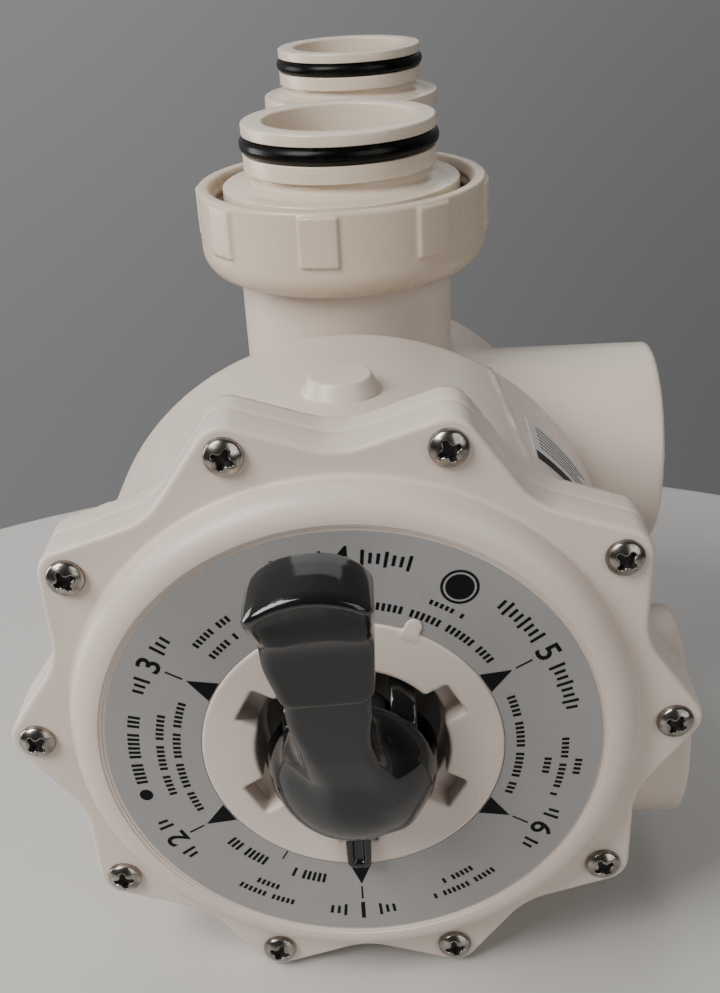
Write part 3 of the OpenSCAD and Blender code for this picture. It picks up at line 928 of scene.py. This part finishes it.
def pointer_shape(x, y, z):
    """Pointer that widens outwards, with a raised rim."""
    half = 4.0 + 0.03 * (y + 33)
    tab = plate(cross(np.abs(x) - half, np.abs(y - POINTER_Y) - 11.7, 2.6), z, 11.1, 14.9, 0.5)
    return cut(tab, slab(x, y + 32, z - 15, 1.7, 9.2, 1.3, 0.4), 0.5)


def handle_shape(p):
    x, y, z = p[:, 0], p[:, 1], p[:, 2]
    ball = hyp(x, y, z - PIN_Z)
    d = join(ball - HUB_R, arm_shape(x, y, z), 2.4)
    d = join(d, paddle_shape(x, y, z), 0.5)
    # hollow of the ball, its open upper side, and two planes that trim its underside
    d = cut(d, ball - (HUB_R - HUB_WALL), 0.8)
    d = cut(d, slab(x, y - 24, z + 8.5, 30, 19.8, 27.6, 2), 1.0)
    d = np.maximum(d, -(z + 4.4))
    tilt = math.radians(25)
    d = np.maximum(d, -((z - PIN_Z) * math.cos(tilt) - y * math.sin(tilt) + 20.8))
    d = np.minimum(d, cams_shape(x, y, z))
    return join(d, pointer_shape(x, y, z), 1.6)


def build_handle():
    lever = skin(handle_shape, (-26, -44, -5), (26, 94, 68), 0.75)
    piece("lever", [lever], handle_mat, "lever", ["handle"])


# ---------------------------------------------------------------- print on the labels


def arc_bar(r0, r1, a0, a1, z0, z1):
    """Thin curved bar between two radii and two clock angles in degrees."""
    n = max(2, int(abs(a1 - a0) / 2.5) + 2)
    a = np.radians(np.linspace(a0, a1, n))
    rows = [np.column_stack([r * np.sin(a), r * np.cos(a), np.full(n, z)])
            for r, z in ((r0, z0), (r1, z0), (r1, z1), (r0, z1))]
    quads = []
    for i in range(n - 1):
        for j in range(4):
            k = (j + 1) % 4
            quads.append([k * n + i, k * n + i + 1, j * n + i + 1, j * n + i])
    quads.append([3 * n, 2 * n, n, 0])
    quads.append([n - 1, 2 * n - 1, 3 * n - 1, 4 * n - 1])
    return np.concatenate(rows), quads


def flat(points, z0, z1):
    """Thin plate with the outline of a convex polygon given clockwise."""
    n = len(points)
    pts = np.array(points, float)
    verts = np.concatenate([np.column_stack([pts, np.full(n, z)]) for z in (z0, z1)])
    faces = [list(range(n)), list(range(2 * n - 1, n - 1, -1))]
    faces += [[i, n + i, n + (i + 1) % n, (i + 1) % n] for i in range(n)]
    return verts, faces


def around(points, angle):
    """Turns (across, out) points to a clock angle on the dial."""
    s, c = math.sin(math.radians(angle)), math.cos(math.radians(angle))
    return [(x * c + y * s, y * c - x * s) for x, y in points]


def numeral(text, size):
    """Points and faces of a numeral about its own middle."""
    curve = bpy.data.curves.new("numeral", "FONT")
    curve.body = text
    curve.size = size
    curve.align_x, curve.align_y = "CENTER", "CENTER"
    curve.extrude = 0.5
    curve.offset = size * 0.016
    curve.resolution_u = 3
    ob = bpy.data.objects.new("numeral", curve)
    me = bpy.data.meshes.new_from_object(ob)
    bm = bmesh.new()
    bm.from_mesh(me)
    bmesh.ops.remove_doubles(bm, verts=bm.verts, dist=1e-4)
    bmesh.ops.recalc_face_normals(bm, faces=bm.faces)
    bm.verts.ensure_lookup_table()
    verts = np.array([v.co[:] for v in bm.verts])
    faces = [[v.index for v in f.verts] for f in bm.faces]
    bm.free()
    bpy.data.objects.remove(ob)
    bpy.data.curves.remove(curve)
    bpy.data.meshes.remove(me)
    low, high = verts.min(0), verts.max(0)
    verts[:, :2] -= ((low + high) / 2)[:2]
    return verts, faces


def build_dial_print():
    """Numerals, graduations, arrows and plain marks in the places of the dial's print."""
    z0, z1 = PRINT_Z
    parts = []
    # position numerals, each with the angle that its graduations fill on both sides
    for text, angle, span in (("1", 180, 9.7), ("2", 240, 8.0), ("3", 300, 10), ("4", 0, 17),
                              ("5", 60, 19.3), ("6", 120, 8.2)):
        v, f = numeral(text, 9.0)
        grow = 1.12
        x, y = v[:, 0] * grow, v[:, 1] * grow + NUMERAL_R
        s, c = math.sin(math.radians(angle)), math.cos(math.radians(angle))
        z = np.where(v[:, 2] > 0, z1, z0)
        parts.append((np.column_stack([x * c + y * s, y * c - x * s, z]), f))
        first, step = 5, 1.9
        for k in range(int((span - 4.4) / step) + 1):
            tall = 2.5 if k % 3 == 0 else 1.7
            for a in (angle - first - step * k, angle + first + step * k):
                bar = arc_bar(NUMERAL_R - tall, NUMERAL_R + tall, a - 0.42, a + 0.42, z0, z1)
                parts.append(bar)
    # arrow heads and ticks that the pointer lines up with
    for angle in range(0, 360, 60):
        parts.append(flat(around([(-3.6, 45.9), (0, 54.8), (3.6, 45.9)], angle), z0, z1))
        parts.append(arc_bar(55.9, 61.4, angle - 0.28, angle + 0.28, z0, z1))
    parts.append(arc_bar(46.0, 49.6, 209.7, 210.3, z0, z1))
    # rows of small dashes where other print stands: radius, two angles and half height
    for r, a0, a1, w in (
        (51.4, 10, 55, 1.25), (56.8, 25, 38, 0.8), (50.4, 69, 113, 1.25),
        (68.3, 95, 101.5, 1.1), (63.8, 88, 109, 1.1), (59.0, 95, 103, 1.1),
        (65.6, 139.5, 160, 1.1), (60.6, 144, 156, 1.1), (58.4, 312, 328, 1.1),
        (52.6, 312, 326, 1.1), (53.2, 192.5, 205.5, 1.9), (53.2, 214.5, 230.5, 1.9),
        (66.2, 200, 219, 1.1), (61.6, 206, 214, 1.1), (58.3, 255, 286, 1.2),
        (53.2, 246, 294, 1.2), (66.2, 261, 284, 1.8),
    ):
        turn = math.degrees(1.65 / r)
        for k in range(int((a1 - a0) / turn)):
            if k % 7 != 5:
                a = a0 + turn * k
                parts.append(arc_bar(r - w, r + w, a, a + 0.58 * turn, z0, z1))
    # plain dots, the large one with a pale ring left free
    dot_r, dot_angle = DOT_AT
    for r, angle, size in ((dot_r, dot_angle, 4.1), (66.6, 257.0, 2.1)):
        pts = [(size * math.sin(t), r + size * math.cos(t))
               for t in np.linspace(0, 2 * math.pi, 28, endpoint=False)]
        parts.append(flat(around(pts, angle), z0, z1))
    v, f = revolve([(4.7, z1), (5.5, z1), (5.5, z0), (4.7, z0)], 40)
    v[:, :2] += around([(0, dot_r)], dot_angle)[0]
    parts.append((v, f))
    piece("dial_print", parts, ink_mat, "housing", smooth=False)


def build_chamber_print():
    """Dark band and rules on the film label of the chamber."""
    rows = [arc_bar(*CHAMBER_PRINT_R, 39.9, 59.2, -46.2, -39.7)]
    for i in range(6):
        z = -67.5 + 3.1 * i
        rows.append(arc_bar(*CHAMBER_PRINT_R, 41.5, 57.5 - 1.7 * (i % 3), z, z + 0.8))
    piece("label_rules", rows, ink_mat, "housing", smooth=False)


build_body()
build_cover()
build_screws()
build_unions()
build_handle()
build_dial_print()
build_chamber_print()

# ---------------------------------------------------------------- floor, light, camera


def build_stage():
    """Round pale floor just under the valve."""
    radius, sides, middle_y = 0.46, 128, -0.2
    top = CAD_LOW[2] - 0.0003
    profile = [(0.0, 0.0), (0.2, 0.0), (radius - 0.006, 0.0), (radius - 0.002, -0.0012),
               (radius, -0.005), (radius, -0.03), (0.0, -0.03)]
    verts = [(math.sin(a) * r, middle_y + math.cos(a) * r, top + z)
             for a in np.linspace(0, 2 * np.pi, sides, endpoint=False) for r, z in profile]
    m = len(profile)
    faces = [((i + 1) % sides * m + j, (i + 1) % sides * m + j + 1, i * m + j + 1, i * m + j)
             for i in range(sides) for j in range(m - 1)]
    me = bpy.data.meshes.new("floor")
    me.from_pydata(verts, [], faces)
    me.validate()
    floor = bpy.data.objects.new("floor", me)
    bpy.context.scene.collection.objects.link(floor)
    n = Nodes("pale_floor")
    tone = n.ramp(n.noise(5, 4, 0.6), [(0.3, (0.50, 0.49, 0.475)), (0.7, (0.53, 0.52, 0.505))])
    me.materials.append(n.set(Base_Color=tone, Roughness=0.45,
                              Normal=n.bump(n.noise(320, 4, 0.6), 0.0002, 0.2)))


def build_light():
    """Studio of soft lamps in a world that is grey behind and dark in front."""
    world = bpy.data.worlds.new("studio")
    world.use_nodes = True
    tree = world.node_tree
    split = tree.nodes.new("ShaderNodeSeparateXYZ")
    tree.links.new(tree.nodes.new("ShaderNodeTexCoord").outputs["Generated"], split.inputs[0])
    # the strength is a product of one smooth step along each axis
    strength = None
    for axis, lo, hi, a, b in (("Y", -0.35, 0.35, 0.035, 0.235), ("X", -0.4, 0.4, 1.3, 0.72),
                               ("Z", -0.45, 0.35, 0.66, 1.12)):
        span = tree.nodes.new("ShaderNodeMapRange")
        span.interpolation_type = "SMOOTHSTEP"
        for socket, value in zip(span.inputs[1:5], (lo, hi, a, b)):
            socket.default_value = value
        tree.links.new(split.outputs[axis], span.inputs[0])
        if strength is None:
            strength = span.outputs[0]
            continue
        times = tree.nodes.new("ShaderNodeMath")
        times.operation = "MULTIPLY"
        tree.links.new(strength, times.inputs[0])
        tree.links.new(span.outputs[0], times.inputs[1])
        strength = times.outputs[0]
    tree.nodes["Background"].inputs[0].default_value = (0.995, 0.995, 1.0, 1)
    tree.links.new(strength, tree.nodes["Background"].inputs[1])
    bpy.context.scene.world = world
    centre = Vector((0, -0.1, -0.1))
    for name, direction, reach, size, power, colour in (
        ("key", (-1.0, -0.7, 1.15), 1.5, 0.75, 30.5, (1.0, 0.985, 0.96)),
        ("side", (-1.4, 0.5, 0.15), 1.4, 0.6, 9, (1.0, 0.99, 0.97)),
        ("fill", (1.2, -1.3, 0.7), 1.8, 1.2, 12, (1.0, 0.99, 0.975)),
        ("top", (0.1, 1.3, 1.1), 1.7, 1.2, 5.5, (1.0, 1.0, 1.0)),
    ):
        lamp = bpy.data.lights.new(name, "AREA")
        lamp.shape = "RECTANGLE"
        lamp.size = size
        lamp.size_y = size * 1.3
        lamp.energy = power
        lamp.color = colour
        ob = bpy.data.objects.new(name, lamp)
        d = Vector(direction).normalized()
        ob.location = centre + d * reach
        ob.rotation_mode = "QUATERNION"
        ob.rotation_quaternion = (-d).to_track_quat("-Z", "Y")
        bpy.context.scene.collection.objects.link(ob)


def build_camera():
    cam = bpy.data.cameras.new("camera")
    cam.lens = CAMERA_LENS
    cam.sensor_width = 36
    cam.shift_y = CAMERA_SHIFT
    cam.clip_start, cam.clip_end = 0.01, 20
    ob = bpy.data.objects.new("camera", cam)
    turn = Vector([math.radians(a) for a in CAMERA_TURN])
    m = Matrix.Rotation(turn.length, 3, turn.normalized())
    # the camera's right, up and back in the frame's axes
    right, up, back = (Vector((v[0], -v[2], v[1])) for v in (m[0], m[1], m[2]))
    view = Matrix((right, up, back)).transposed().to_4x4()
    ob.matrix_world = Matrix.Translation(Vector(to_row(CAMERA_AT))) @ view
    bpy.context.scene.collection.objects.link(ob)
    bpy.context.scene.camera = ob


build_stage()
build_light()
build_camera()

bpy.context.view_layer.update()
